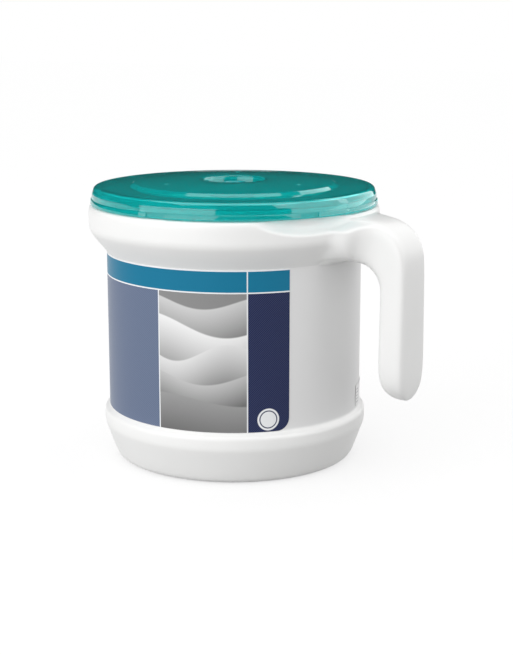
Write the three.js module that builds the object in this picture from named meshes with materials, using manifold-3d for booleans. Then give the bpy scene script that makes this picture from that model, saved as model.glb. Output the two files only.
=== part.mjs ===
// Portable centre-feed paper towel dispenser: a white blow-moulded bucket with a hook handle, a clear
// teal lid with a turning nozzle in its middle, and a roll of towels inside.
// Millimetres, +Z up. The origin is on the bucket's axis, at the flat foot it stands on. The handle
// points along +X, and angles are measured from +X, anticlockwise seen from above.
import * as THREE from "three";
import { ParametricGeometry } from "three/addons/geometries/ParametricGeometry.js";
import { mergeVertices } from "three/addons/utils/BufferGeometryUtils.js";
import Module from "manifold-3d";

// Bucket
const TUBE_R = 100; // outside of the straight wall
const WALL = 2.4;
const BULGE_OUT = 4.4; // the base bulge stands out from the wall by this much
const FOOT_LEAN = 10.4; // the bulge leans in by this much down to the foot
const PAD_INSET = 36; // from the foot's edge in to its flat middle
const GROOVE_W = 16; // stiffening channel round the pad
const GROOVE_DEPTH = 2;
const BULGE_Z = 29; // where the bulge stops leaning outwards
const BASE_TOP_Z = 39.8; // top edge of the bulge
const LEDGE_RISE = 3.2; // the ledge climbs this much from the bulge to the wall
const COLLAR_OUT = 14; // the collar stands out from the wall by this much
const FLARE_Z = 163.4; // foot of the flare under the collar
const FLARE_RISE = 18;
const RIM_Z = 201.2; // shoulder that the lid's edge lies over
const SHOULDER_W = 6.4; // from the collar in to the neck that the lid covers
const NECK_H = 7.6;
const NECK_BEAD = 0.9;
const BEAD_H = 2.4;

const BASE_R = TUBE_R + BULGE_OUT;
const FOOT_R = BASE_R - FOOT_LEAN;
const PAD_R = FOOT_R - PAD_INSET;
const COLLAR_R = TUBE_R + COLLAR_OUT;
const NECK_R = COLLAR_R - SHOULDER_W;

// Thumb scoop in the collar, under the lid's edge
const SCOOP_ANGLE = -28;
const SCOOP_CENTRE_OUT = 2.6; // centre of the scoop, outside the collar's wall
const SCOOP_CENTRE_UP = 2; // and above the rim
const SCOOP_DEPTH = 8; // half sizes: radial, sideways, upright
const SCOOP_HALF_W = 46;
const SCOOP_HALF_H = 14.7;

// Handle
const GRIP_OUT = 44.7; // outer face of the grip, from the collar
const GRIP_T = 19.4; // radial thickness of the grip
const GRIP_HALF_W = 23;
const HANDLE_TOP_DROP = 2.6; // top of the arm under the rim, where it starts to bend down
const BEND_OUT_R = 31;
const BEND_IN_R = 20;
const ARM_UNDER_Z = 165; // underside of the arm
const GRIP_END_Z = 62.4; // lowest point of the handle
const GRIP_END_H = 21; // the end rounds off over this height
const ROOT_HALF_W = 43; // the arm flares to this half width where it meets the collar
const ROOT_IN = 12; // the root starts this far inside the collar's wall
const ROOT_DROP = 1.2; // top of the arm under the rim, at the collar
const CORNER_POWER = 3.4; // squareness of the handle's rounded section

// Lid
const LID_WALL = 2;
const LID_GAP = 0.3; // lid's edge over the rim
const EDGE_INSET = 1.4; // the edge bead stands back from the collar
const EDGE_H = 5.1;
const SKIRT_INSET = 1.2; // the skirt stands back from its bead
const SKIRT_LEAN = 1.8; // and leans in this much up to the shoulder
const LID_H = 13.2; // from the edge to the flat ring
const SKIRT_CLEAR = 0.7; // skirt's inside round the neck bead
const RING_W = 27.6; // flat ring from the shoulder in to the raised disc
const STEP_RISE = 2.6;
const STEP_RUN = 3.6;
const DOME_RISE = 2; // the disc climbs this much to the cup
const CUP_R = 24;
const CUP_DEPTH = 9.2;
const CUP_DRAFT = 1.4;
const PLUG_GAP = 0.6; // ring under the lid, inside the neck
const PLUG_T = 2;
const PLUG_H = 5;
const BEAD_GAPS = 7;
const BEAD_GAP_ANGLE = -27; // one gap stands over the thumb scoop
const BEAD_GAP_W = 13.8;
const PIP_RING_R = 58;
const PIP_R = 2;
const PIP_H = 0.6;
const PIPS = 3;

const LID_EDGE_R = COLLAR_R - EDGE_INSET;
const SKIRT_R = LID_EDGE_R - SKIRT_INSET;
const SKIRT_TOP_R = SKIRT_R - SKIRT_LEAN;
const STEP_R = SKIRT_TOP_R - RING_W;

// Nozzle
const HUB_R = 16.1;
const RUNNING_GAP = 0.3;
const FLANGE_R = 19.5;
const FLANGE_T = 1.8;
const MOUTH_R = 9.6;
const MOUTH_H = 4.7; // mouth over the flange
const THROAT_R = 6.5;
const FUNNEL_R = 13.4; // the throat widens to this underneath
const HUB_BELOW = 4.4; // hub under the cup's floor
const CLIP_GROOVE = 1.2;
const CLIP_R = 20.5;
const CLIP_T = 1.7;
const CLIP_SEAT = 0.6; // clip under the cup's floor
const CLIP_OPEN_ANGLE = 36;
const RIBS = 4;
const RIB_T = 1.6;

// Paper roll
const ROLL_CLEAR = 7.6; // between the roll and the wall
const ROLL_HEADROOM = 5; // between the roll and the nozzle's hub
const CORE_R = 30;
const TURNS = 6; // turns that are shown as ridges on its ends
const TURN_DEPTH = 1.2;
const TAIL_R = 3.6; // gathered end of the paper, pulled up from the middle
const TAIL_TOP_UNDER_MOUTH = 11.4; // its tip stands in the nozzle's funnel
const TAIL_ROOT_DOWN = 28;

// Labels
const FILM_GAP = 0.3;
const FILM_T = 0.3;
const LABEL_START = -160;
const LABEL_END = -33.4;
const LABEL_INSET = 1; // from the flare above and the ledge below
const LABEL_CORNER_R = 9.5;
const REAR_START = 14;
const REAR_END = 48;
const REAR_H = 17;

const BUCKET_SEGMENTS = 52;
const SMALL_SEGMENTS = 32;
const FULL_FILLET_R = 4; // fillets from this radius up are drawn with more facets
const SEAT_GAP = 0.3;
const OVERSHOOT = 1;

const wasm = await Module();
wasm.setup();
const rad = THREE.MathUtils.degToRad;

// Helpers
// A closed geometry as a solid that joins and cuts.
function solid(geometry) {
  const bare = geometry.clone();
  bare.deleteAttribute("normal");
  bare.deleteAttribute("uv");
  const merged = mergeVertices(bare, 1e-4);
  const places = merged.getAttribute("position").array;
  const corners = merged.getIndex().array;
  const kept = [];
  let volume = 0;
  const a = new THREE.Vector3();
  const b = new THREE.Vector3();
  const c = new THREE.Vector3();
  for (let i = 0; i < corners.length; i += 3) {
    const [p, q, r] = [corners[i], corners[i + 1], corners[i + 2]];
    if (p === q || q === r || r === p) continue;
    kept.push(p, q, r);
    a.fromArray(places, 3 * p);
    b.fromArray(places, 3 * q);
    c.fromArray(places, 3 * r);
    volume += a.dot(b.cross(c));
  }
  if (volume < 0) kept.reverse();
  return new wasm.Manifold(
    new wasm.Mesh({
      numProp: 3,
      vertProperties: new Float32Array(places),
      triVerts: new Uint32Array(kept),
    }),
  );
}

function meshOf(name, shape, material) {
  const made = shape.getMesh();
  const geometry = new THREE.BufferGeometry();
  geometry.setAttribute(
    "position",
    new THREE.BufferAttribute(made.vertProperties, 3),
  );
  geometry.setIndex(new THREE.BufferAttribute(made.triVerts, 1));
  geometry.computeVertexNormals();
  const mesh = new THREE.Mesh(geometry, material);
  mesh.name = name;
  return mesh;
}

// Corners are [radius, height, fillet radius]. Each corner with a fillet becomes a short arc.
function rounded(corners, closed = false, mostSteps = 3) {
  const points = [];
  const count = corners.length;
  corners.forEach(([x, y, fillet = 0], i) => {
    const here = new THREE.Vector2(x, y);
    const inner = closed || (i > 0 && i < count - 1);
    if (!fillet || !inner) {
      points.push(here);
      return;
    }
    const before = corners[(i + count - 1) % count];
    const after = corners[(i + 1) % count];
    const back = new THREE.Vector2(before[0], before[1]).sub(here);
    const on = new THREE.Vector2(after[0], after[1]).sub(here);
    const half = back.angleTo(on) / 2;
    const reach = Math.min(
      fillet / Math.tan(half),
      0.48 * Math.min(back.length(), on.length()),
    );
    const start = here.clone().addScaledVector(back.normalize(), reach);
    const end = here.clone().addScaledVector(on.normalize(), reach);
    const arc = new THREE.QuadraticBezierCurve(start, here, end);
    points.push(...arc.getPoints(fillet < FULL_FILLET_R ? 1 : mostSteps));
  });
  return points;
}

// The same run of corners, moved sideways by a wall's thickness (to the left of the way it runs).
function offset(corners, distance) {
  return corners.map(([x, y, fillet = 0], i) => {
    const here = new THREE.Vector2(x, y);
    const normals = [];
    for (const j of [i - 1, i]) {
      if (j < 0 || j >= corners.length - 1) continue;
      const step = new THREE.Vector2(
        corners[j + 1][0] - corners[j][0],
        corners[j + 1][1] - corners[j][1],
      ).normalize();
      normals.push(new THREE.Vector2(-step.y, step.x));
    }
    const mean = normals.reduce((sum, n) => sum.add(n), new THREE.Vector2());
    mean.normalize();
    const moved = here.addScaledVector(mean, distance / mean.dot(normals[0]));
    return [Math.max(0, moved.x), moved.y, fillet];
  });
}

// A solid of revolution about Z from points of radius and height.
function turned(points, segments) {
  const loop = [...points];
  const [first, last] = [loop[0], loop[loop.length - 1]];
  if (first.x > 0 || last.x > 0) loop.push(first.clone());
  return solid(new THREE.LatheGeometry(loop, segments).rotateX(Math.PI / 2));
}

function moved(shape, x, y, z) {
  return shape.translate([x, y, z]);
}

// Moves a shape built round +X to an angle about the axis.
function swung(shape, degrees) {
  return shape.rotate([0, 0, degrees]);
}

function box(x, y, z) {
  return solid(new THREE.BoxGeometry(x, y, z));
}

// Bucket
const NECK_TOP_Z = RIM_Z + NECK_H;
const LEDGE_Z = BASE_TOP_Z + LEDGE_RISE;

// Outside of the bucket from the middle of the foot up to the neck, without the neck's bead.
const bucketOutside = [
  [0, 0],
  [PAD_R, 0],
  [PAD_R + GROOVE_DEPTH, GROOVE_DEPTH],
  [PAD_R + GROOVE_W - GROOVE_DEPTH, GROOVE_DEPTH],
  [PAD_R + GROOVE_W, 0],
  [FOOT_R, 0, 5],
  [BASE_R, BULGE_Z, 14],
  [BASE_R, BASE_TOP_Z, 6],
  [TUBE_R, LEDGE_Z, 1],
  [TUBE_R, FLARE_Z, 4],
  [COLLAR_R, FLARE_Z + FLARE_RISE, 9],
  [COLLAR_R, RIM_Z, 4],
  [NECK_R, RIM_Z],
  [NECK_R, NECK_TOP_Z],
];

function scoop(grown) {
  const shape = new THREE.SphereGeometry(1, 40, 24).scale(
    SCOOP_DEPTH + grown,
    SCOOP_HALF_W + grown,
    SCOOP_HALF_H + grown,
  );
  const out = COLLAR_R + SCOOP_CENTRE_OUT;
  const up = RIM_Z + SCOOP_CENTRE_UP;
  return swung(moved(solid(shape), out, 0, up), SCOOP_ANGLE);
}

// Two curves in the XZ plane hold the handle: the outer one over the arm and down the grip's outer
// face, and the inner one under the arm and down the face towards the wall.
const HANDLE_REACH = COLLAR_R + GRIP_OUT;
const GRIP_IN = HANDLE_REACH - GRIP_T;
const ROOT_X = COLLAR_R - ROOT_IN;
const ARM_TOP_Z = RIM_Z - HANDLE_TOP_DROP;
const GRIP_END_START_Z = GRIP_END_Z + GRIP_END_H;
const TIP_X = HANDLE_REACH - 0.2 * GRIP_T;

function quarter(x, z, rx, rz, from, to) {
  return new THREE.EllipseCurve(x, z, rx, rz, rad(from), rad(to), from > to, 0);
}

function line(x0, z0, x1, z1) {
  return new THREE.LineCurve(
    new THREE.Vector2(x0, z0),
    new THREE.Vector2(x1, z1),
  );
}

const bendOutX = HANDLE_REACH - BEND_OUT_R;
const bendInX = GRIP_IN - BEND_IN_R;
const bendInZ = ARM_UNDER_Z - BEND_IN_R;
const outerStages = {
  arm: line(ROOT_X, RIM_Z - ROOT_DROP, bendOutX, ARM_TOP_Z),
  bend: quarter(bendOutX, ARM_TOP_Z - BEND_OUT_R, BEND_OUT_R, BEND_OUT_R, 90, 0),
  grip: line(
    HANDLE_REACH,
    ARM_TOP_Z - BEND_OUT_R,
    HANDLE_REACH,
    GRIP_END_START_Z,
  ),
  end: quarter(TIP_X, GRIP_END_START_Z, HANDLE_REACH - TIP_X, GRIP_END_H, 0, -90),
};
const innerStages = {
  arm: line(ROOT_X, ARM_UNDER_Z, bendInX, ARM_UNDER_Z),
  bend: quarter(bendInX, bendInZ, BEND_IN_R, BEND_IN_R, 90, 0),
  grip: line(GRIP_IN, bendInZ, GRIP_IN, GRIP_END_START_Z),
  end: quarter(TIP_X, GRIP_END_START_Z, TIP_X - GRIP_IN, GRIP_END_H, 180, 270),
};
const STAGE_STEPS = { arm: 7, bend: 7, grip: 2, end: 6 };
const AROUND = 20;

// Half width of the handle at a place on its outer curve.
function halfWidth(stage, along, x) {
  if (stage === "end") return GRIP_HALF_W * Math.cos((along * Math.PI) / 2);
  const flare = THREE.MathUtils.clamp(
    (HANDLE_REACH - BEND_OUT_R / 2 - x) / (HANDLE_REACH - BEND_OUT_R / 2 - ROOT_X),
    0,
    1,
  );
  return GRIP_HALF_W + (ROOT_HALF_W - GRIP_HALF_W) * flare ** 2.6;
}

function handle() {
  const rows = [];
  for (const [stage, steps] of Object.entries(STAGE_STEPS)) {
    for (let i = stage === "arm" ? 0 : 1; i <= steps; i++) {
      const along = stage === "end" ? Math.sin((i / steps) * (Math.PI / 2)) : i / steps;
      const out = outerStages[stage].getPoint(along);
      const into = innerStages[stage].getPoint(along);
      rows.push({ out, into, half: halfWidth(stage, along, out.x) });
    }
  }
  const last = rows.length - 1;
  const power = 2 / CORNER_POWER;
  const at = (u, v, target) => {
    // the first and last rows are poles, which close the two ends
    const k = THREE.MathUtils.clamp(Math.round(u * (last + 2)) - 1, 0, last);
    const pole = u < 1e-6 || u > 1 - 1e-6;
    const row = rows[k];
    const turn = v * 2 * Math.PI;
    const c = pole ? 0 : Math.cos(turn);
    const s = pole ? 0 : Math.sin(turn);
    const deep = Math.sign(c) * Math.abs(c) ** power;
    const wide = Math.abs(s) < 1e-9 ? 0 : Math.sign(s) * Math.abs(s) ** power;
    const mid = row.out.clone().add(row.into).multiplyScalar(0.5);
    const half = row.out.clone().sub(row.into).multiplyScalar(0.5);
    target.set(mid.x + half.x * deep, row.half * wide, mid.y + half.y * deep);
  };
  return solid(new ParametricGeometry(at, last + 2, AROUND));
}

function bucket(material) {
  const neckBeadZ = NECK_TOP_Z - BEAD_H - 0.8;
  const outline = [
    ...bucketOutside,
    [NECK_R - WALL / 2, NECK_TOP_Z, 0],
    [0, NECK_TOP_Z],
  ];
  outline.splice(
    bucketOutside.length - 1,
    0,
    [NECK_R, neckBeadZ - BEAD_H / 2],
    [NECK_R + NECK_BEAD, neckBeadZ],
    [NECK_R, neckBeadZ + BEAD_H / 2],
  );
  const inside = offset(bucketOutside, WALL);
  const top = inside[inside.length - 1];
  const cavity = turned(
    [
      ...rounded([...inside.slice(0, -1), [top[0], NECK_TOP_Z + OVERSHOOT]], false, 1),
      new THREE.Vector2(0, NECK_TOP_Z + OVERSHOOT),
    ],
    BUCKET_SEGMENTS,
  ).subtract(scoop(WALL));
  const shape = turned(rounded(outline), BUCKET_SEGMENTS)
    .add(handle())
    .subtract(scoop(0))
    .subtract(cavity);
  return meshOf("bucket", shape, material);
}

// Lid
const LID_Z = RIM_Z + LID_GAP;
const RING_Z = LID_Z + LID_H; // flat ring round the raised disc
const DISC_Z = RING_Z + STEP_RISE;
const CUP_TOP_Z = DISC_Z + DOME_RISE;
const CUP_FLOOR_Z = CUP_TOP_Z - CUP_DEPTH;
const CUP_FLOOR_R = CUP_R - CUP_DRAFT;
const HUB_HOLE_R = HUB_R + RUNNING_GAP;

function domeZ(r) {
  const share = (STEP_R - STEP_RUN - r) / (STEP_R - STEP_RUN - CUP_R);
  return DISC_Z + DOME_RISE * Math.sin((share * Math.PI) / 2);
}

function lid(material) {
  const top = [
    [SKIRT_R, LID_Z + EDGE_H + 0.6],
    [SKIRT_TOP_R, RING_Z, 6.5],
    [STEP_R, RING_Z, 2],
    [STEP_R - STEP_RUN, DISC_Z, 2],
    [(STEP_R + CUP_R) / 2, domeZ((STEP_R + CUP_R) / 2)],
    [CUP_R, CUP_TOP_Z, 2],
    [CUP_FLOOR_R, CUP_FLOOR_Z, 2],
    [HUB_HOLE_R, CUP_FLOOR_Z],
  ];
  const under = offset(top, LID_WALL).map(([r, z]) => [r, z]);
  under[under.length - 1][0] = HUB_HOLE_R;
  const neckBead = NECK_R + NECK_BEAD;
  const skirtIn = neckBead + SKIRT_CLEAR;
  const plugR = NECK_R - WALL - PLUG_GAP;
  const ringUnder = under[1][1];
  const outline = [
    [skirtIn, LID_Z],
    [LID_EDGE_R, LID_Z, 0.8],
    [LID_EDGE_R, LID_Z + EDGE_H, 0.8],
    ...top,
    ...under.slice(2).reverse(),
    [plugR - PLUG_T, ringUnder],
    [plugR - PLUG_T, ringUnder - PLUG_H],
    [plugR, ringUnder - PLUG_H],
    [plugR, ringUnder],
    [under[1][0], ringUnder, 3],
    [skirtIn, LID_Z + EDGE_H + 0.6],
  ];
  let shape = turned(rounded(outline, true), BUCKET_SEGMENTS);
  for (let i = 0; i < BEAD_GAPS; i++) {
    const reach = LID_EDGE_R - SKIRT_R + OVERSHOOT;
    const cutter = moved(
      box(reach, BEAD_GAP_W, EDGE_H + 2 * OVERSHOOT),
      SKIRT_R + reach / 2,
      0,
      LID_Z + EDGE_H / 2,
    );
    shape = shape.subtract(swung(cutter, BEAD_GAP_ANGLE + (360 / BEAD_GAPS) * i));
  }
  const pipFoot = domeZ(PIP_RING_R) - LID_WALL / 2;
  const pipTall = LID_WALL / 2 + PIP_H;
  for (let i = 0; i < PIPS; i++) {
    const stud = new THREE.CylinderGeometry(PIP_R * 0.8, PIP_R, pipTall, 12);
    const pip = moved(
      solid(stud.rotateX(Math.PI / 2)),
      PIP_RING_R,
      0,
      pipFoot + pipTall / 2,
    );
    shape = shape.add(swung(pip, (360 / PIPS) * i));
  }
  return meshOf("lid", shape, material);
}

// Nozzle
const FLOOR_UNDER_Z = CUP_FLOOR_Z - LID_WALL;
const FLANGE_Z = CUP_FLOOR_Z + SEAT_GAP;
const MOUTH_Z = FLANGE_Z + FLANGE_T + MOUTH_H;
const HUB_END_Z = FLOOR_UNDER_Z - HUB_BELOW;
const CLIP_Z = FLOOR_UNDER_Z - CLIP_SEAT - CLIP_T;

function nozzle(material) {
  const grooveR = HUB_R - CLIP_GROOVE;
  const flangeTop = FLANGE_Z + FLANGE_T;
  const outline = [
    [FUNNEL_R, HUB_END_Z],
    [HUB_R, HUB_END_Z, 0.5],
    [HUB_R, CLIP_Z - SEAT_GAP],
    [grooveR, CLIP_Z - SEAT_GAP],
    [grooveR, CLIP_Z + CLIP_T + SEAT_GAP],
    [HUB_R, CLIP_Z + CLIP_T + SEAT_GAP],
    [HUB_R, FLANGE_Z],
    [FLANGE_R, FLANGE_Z],
    [FLANGE_R, flangeTop, 0.8],
    [MOUTH_R + 2.6, flangeTop, 2],
    [MOUTH_R, MOUTH_Z, 1.6],
    [THROAT_R, MOUTH_Z, 1.4],
    [THROAT_R, flangeTop],
  ];
  let shape = turned(rounded(outline, true), SMALL_SEGMENTS);
  const ribRun = FLANGE_R - MOUTH_R - 1.6;
  for (let i = 0; i < RIBS; i++) {
    const profile = new THREE.Shape([
      new THREE.Vector2(0, -OVERSHOOT / 2),
      new THREE.Vector2(ribRun, -OVERSHOOT / 2),
      new THREE.Vector2(ribRun, 0.4),
      new THREE.Vector2(0, MOUTH_H * 0.55),
    ]);
    const blade = new THREE.ExtrudeGeometry(profile, {
      depth: RIB_T,
      bevelEnabled: false,
    })
      .translate(0, 0, -RIB_T / 2)
      .rotateX(Math.PI / 2);
    const rib = moved(solid(blade), MOUTH_R + 0.8, 0, flangeTop);
    shape = shape.add(swung(rib, (360 / RIBS) * i));
  }
  return meshOf("nozzle", shape, material);
}

// Open ring that snaps into the hub's groove under the cup's floor.
function clip(material) {
  const inner = HUB_R - CLIP_GROOVE + SEAT_GAP;
  const outline = [
    [inner, CLIP_Z],
    [CLIP_R, CLIP_Z],
    [CLIP_R, CLIP_Z + CLIP_T],
    [inner, CLIP_Z + CLIP_T],
  ];
  const far = CLIP_R + OVERSHOOT;
  const half = rad(CLIP_OPEN_ANGLE / 2);
  const wedge = new THREE.Shape([
    new THREE.Vector2(0, 0),
    new THREE.Vector2(far / Math.cos(half), 0).rotateAround(
      new THREE.Vector2(),
      -half,
    ),
    new THREE.Vector2(far / Math.cos(half), 0).rotateAround(
      new THREE.Vector2(),
      half,
    ),
  ]);
  const mouth = solid(
    new THREE.ExtrudeGeometry(wedge, {
      depth: CLIP_T + 2 * OVERSHOOT,
      bevelEnabled: false,
    }).translate(0, 0, CLIP_Z - OVERSHOOT),
  );
  const ring = turned(rounded(outline, true), SMALL_SEGMENTS);
  return meshOf("nozzle_clip", ring.subtract(mouth), material);
}

// Paper roll
const FLOOR_TOP_Z = WALL + GROOVE_DEPTH; // the floor stands highest over the channel
const ROLL_Z = FLOOR_TOP_Z + SEAT_GAP;
const ROLL_R = TUBE_R - WALL - ROLL_CLEAR;
const ROLL_TOP_Z = HUB_END_Z - ROLL_HEADROOM;

function paperRoll(material) {
  const pitch = (ROLL_R - CORE_R) / TURNS;
  const bottom = [];
  const topFace = [];
  for (let i = 0; i < TURNS; i++) {
    const r = CORE_R + pitch * i;
    bottom.push([r, ROLL_Z + TURN_DEPTH], [r + pitch / 2, ROLL_Z]);
    topFace.unshift([r + pitch / 2, ROLL_TOP_Z], [r, ROLL_TOP_Z - TURN_DEPTH]);
  }
  const outline = [
    ...bottom,
    [ROLL_R, ROLL_Z + TURN_DEPTH],
    [ROLL_R, ROLL_TOP_Z - TURN_DEPTH],
    ...topFace,
  ];
  const roll = turned(rounded(outline, true), SMALL_SEGMENTS);
  const tipZ = MOUTH_Z - TAIL_TOP_UNDER_MOUTH;
  const rootZ = ROLL_TOP_Z - TAIL_ROOT_DOWN;
  const rise = tipZ - rootZ;
  const path = new THREE.CatmullRomCurve3([
    new THREE.Vector3(CORE_R + TAIL_R, 0, rootZ),
    new THREE.Vector3(CORE_R * 0.8, CORE_R * 0.3, rootZ + rise * 0.17),
    new THREE.Vector3(CORE_R * 0.35, CORE_R * 0.4, rootZ + rise * 0.4),
    new THREE.Vector3(0, CORE_R * 0.14, rootZ + rise * 0.62),
    new THREE.Vector3(0, 0, rootZ + rise * 0.77),
    new THREE.Vector3(0, 0, tipZ),
  ]);
  const fold = new THREE.Shape();
  const FOLDS = 5;
  for (let i = 0; i < FOLDS * 2; i++) {
    const r = i % 2 ? TAIL_R * 0.72 : TAIL_R;
    const a = (i / (FOLDS * 2)) * 2 * Math.PI;
    if (i) fold.lineTo(r * Math.cos(a), r * Math.sin(a));
    else fold.moveTo(r, 0);
  }
  const tail = solid(
    new THREE.ExtrudeGeometry(fold, {
      steps: 14,
      bevelEnabled: false,
      extrudePath: path,
    }),
  );
  return meshOf("paper_roll", roll.add(tail), material);
}

// Labels
// A film bent round the wall between two angles and two heights, with its lower corners rounded.
function film(name, start, end, low, high, corner, material) {
  const inner = TUBE_R + FILM_GAP;
  const outer = inner + FILM_T;
  const ring = turned(
    rounded(
      [
        [inner, low],
        [outer, low],
        [outer, high],
        [inner, high],
      ],
      true,
    ),
    BUCKET_SEGMENTS,
  );
  const sector = new THREE.Shape([new THREE.Vector2(0, 0)]);
  const steps = Math.ceil((end - start) / 30);
  for (let i = 0; i <= steps; i++) {
    const a = rad(start + ((end - start) * i) / steps);
    sector.lineTo(outer * 1.2 * Math.cos(a), outer * 1.2 * Math.sin(a));
  }
  const slice = solid(
    new THREE.ExtrudeGeometry(sector, {
      depth: high - low + 2 * OVERSHOOT,
      bevelEnabled: false,
    }).translate(0, 0, low - OVERSHOOT),
  );
  let shape = ring.intersect(slice);
  if (corner) {
    for (const [angle, side] of [
      [start, 1],
      [end, -1],
    ]) {
      // what lies outside a quarter circle at the corner, seen along the radius there
      const spare = new THREE.Shape();
      spare.moveTo(-side * OVERSHOOT, -OVERSHOOT);
      spare.lineTo(side * corner, -OVERSHOOT);
      spare.lineTo(side * corner, 0);
      spare.absarc(side * corner, corner, corner, -Math.PI / 2, side > 0 ? -Math.PI : 0, side > 0);
      spare.lineTo(-side * OVERSHOOT, corner);
      const cutter = new THREE.ExtrudeGeometry(spare, {
        depth: 20,
        bevelEnabled: false,
        curveSegments: 6,
      })
        .rotateX(Math.PI / 2)
        .rotateZ(Math.PI / 2)
        .translate(inner - 10, 0, low);
      shape = shape.subtract(swung(solid(cutter), angle));
    }
  }
  return meshOf(name, shape, material);
}

// Materials and assembly
const white = new THREE.MeshStandardMaterial({ color: 0xf2f2f1, roughness: 0.35 });
const teal = new THREE.MeshStandardMaterial({
  color: 0x0a8f92,
  roughness: 0.08,
  transparent: true,
  opacity: 0.8,
});
const nozzleTeal = new THREE.MeshStandardMaterial({ color: 0x10a0a6, roughness: 0.2 });
const paper = new THREE.MeshStandardMaterial({ color: 0xf4f3ee, roughness: 0.95 });
const print = new THREE.MeshStandardMaterial({ color: 0x3c4f78, roughness: 0.3 });
const plainFilm = new THREE.MeshStandardMaterial({ color: 0xe6e6e6, roughness: 0.3 });

const labelLow = LEDGE_Z + LABEL_INSET;
const labelHigh = FLARE_Z - LABEL_INSET;

const dispenser = new THREE.Group();
dispenser.name = "dispenser";
const lidGroup = new THREE.Group();
lidGroup.name = "lid_group";
lidGroup.add(lid(teal), nozzle(nozzleTeal), clip(nozzleTeal));
dispenser.add(
  bucket(white),
  film("front_label", LABEL_START, LABEL_END, labelLow, labelHigh, LABEL_CORNER_R, print),
  film("rear_label", REAR_START, REAR_END, labelLow, labelLow + REAR_H, 0, plainFilm),
  paperRoll(paper),
  lidGroup,
);

export default dispenser;
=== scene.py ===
"""Dresses the portable paper towel dispenser: bucket, lid, nozzle, roll and labels.

Lengths in the classes are millimetres and become metres when a mesh is made. The origin is on the
bucket's axis at its foot, +Z is up and the handle points along +X. Angles are degrees from +X,
anticlockwise seen from above.
"""

from __future__ import annotations

import logging
import math
from dataclasses import dataclass, field
from enum import Enum
from typing import Sequence

import bmesh
import bpy
from mathutils import Matrix, Vector


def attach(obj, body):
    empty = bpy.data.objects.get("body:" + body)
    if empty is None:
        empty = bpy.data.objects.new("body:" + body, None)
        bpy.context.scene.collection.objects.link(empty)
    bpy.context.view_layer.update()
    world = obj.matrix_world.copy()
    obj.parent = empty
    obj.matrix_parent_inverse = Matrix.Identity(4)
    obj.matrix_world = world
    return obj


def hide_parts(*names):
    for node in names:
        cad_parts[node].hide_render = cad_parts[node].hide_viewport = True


log = logging.getLogger("dispenser")

MM = 0.001

Ring = tuple[float, float]
Corner = tuple[float, float, float]
Section = tuple[Vector, Vector, float, float]


def linear(hex_colour: str) -> tuple[float, float, float, float]:
    """Turns an sRGB hex colour into the linear colour that a shader takes.

    Args:
        hex_colour: six hex digits.

    Returns:
        Linear red, green, blue and an alpha of 1.
    """
    parts = [int(hex_colour[i : i + 2], 16) / 255 for i in (0, 2, 4)]
    straight = [c / 12.92 if c <= 0.04045 else ((c + 0.055) / 1.055) ** 2.4 for c in parts]
    return (*straight, 1.0)


def soft_min(a: float, b: float, blend: float) -> float:
    """The lesser of two lengths, with their meeting rounded over a blend length."""
    h = min(max(0.5 + 0.5 * (b - a) / blend, 0.0), 1.0)
    return b + (a - b) * h - blend * h * (1 - h)


class Body(Enum):
    """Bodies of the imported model."""

    BODY = "body"
    LID = "lid"
    NOZZLE = "nozzle"


class Slot(Enum):
    """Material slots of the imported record."""

    BUCKET = "bucket_white"
    PRINT = "printed_film"
    PLAIN = "plain_film"
    TISSUE = "tissue"
    LID = "lid_teal"
    NOZZLE = "nozzle_teal"


# Work in edit mode


def edit_mode() -> None:
    """Enters edit mode on the active object."""
    bpy.ops.object.mode_set(mode="EDIT")


def object_mode() -> None:
    """Goes back to object mode."""
    bpy.ops.object.mode_set(mode="OBJECT")


def clear_selection() -> None:
    """Deselects every object, the loaded nodes among them."""
    bpy.ops.object.select_all(action="DESELECT")


def active() -> bpy.types.Object:
    """The object that was added last."""
    return bpy.context.view_layer.objects.active


def focus(piece: bpy.types.Object) -> None:
    """Makes one piece the only selected and the active one."""
    clear_selection()
    piece.select_set(True)
    bpy.context.view_layer.objects.active = piece


def start_ring(name: str, radius: float, height: float, sides: int) -> bpy.types.Object:
    """Adds the circle that a turned shape starts from, and enters edit mode.

    Args:
        name: name of the new piece.
        radius: radius of the circle in millimetres.
        height: its height in millimetres.
        sides: number of its sides.

    Returns:
        The new object, in edit mode with the circle selected.
    """
    clear_selection()
    bpy.ops.mesh.primitive_circle_add(
        vertices=sides, radius=radius * MM, location=(0, 0, height * MM)
    )
    ring = active()
    ring.name = name
    place_in_mesh(ring)
    edit_mode()
    bpy.ops.mesh.select_mode(type="VERT")
    bpy.ops.mesh.select_all(action="SELECT")
    return ring


def pull_ring(start: Ring, end: Ring) -> None:
    """Extrudes the selected ring to the next radius and height of a profile."""
    bpy.ops.mesh.extrude_region_move(
        TRANSFORM_OT_translate={"value": (0, 0, (end[1] - start[1]) * MM)}
    )
    share = end[0] / start[0]
    bpy.ops.transform.resize(value=(share, share, 1), center_override=(0, 0, end[1] * MM))


def close_pole() -> None:
    """Closes the selected small ring on the axis in one point."""
    bpy.ops.mesh.merge(type="CENTER")


def select_open_edges() -> None:
    """Selects the edges that have a face on one side only."""
    bpy.ops.mesh.select_all(action="DESELECT")
    bpy.ops.mesh.select_mode(type="EDGE")
    bpy.ops.mesh.select_non_manifold(
        extend=False,
        use_wire=False,
        use_boundary=True,
        use_multi_face=False,
        use_non_contiguous=False,
        use_verts=False,
    )


def place_in_mesh(piece: bpy.types.Object) -> None:
    """Puts a piece's place, turn and scale into its mesh, so that it sits at the origin."""
    focus(piece)
    bpy.ops.object.transform_apply(location=True, rotation=True, scale=True)


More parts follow.
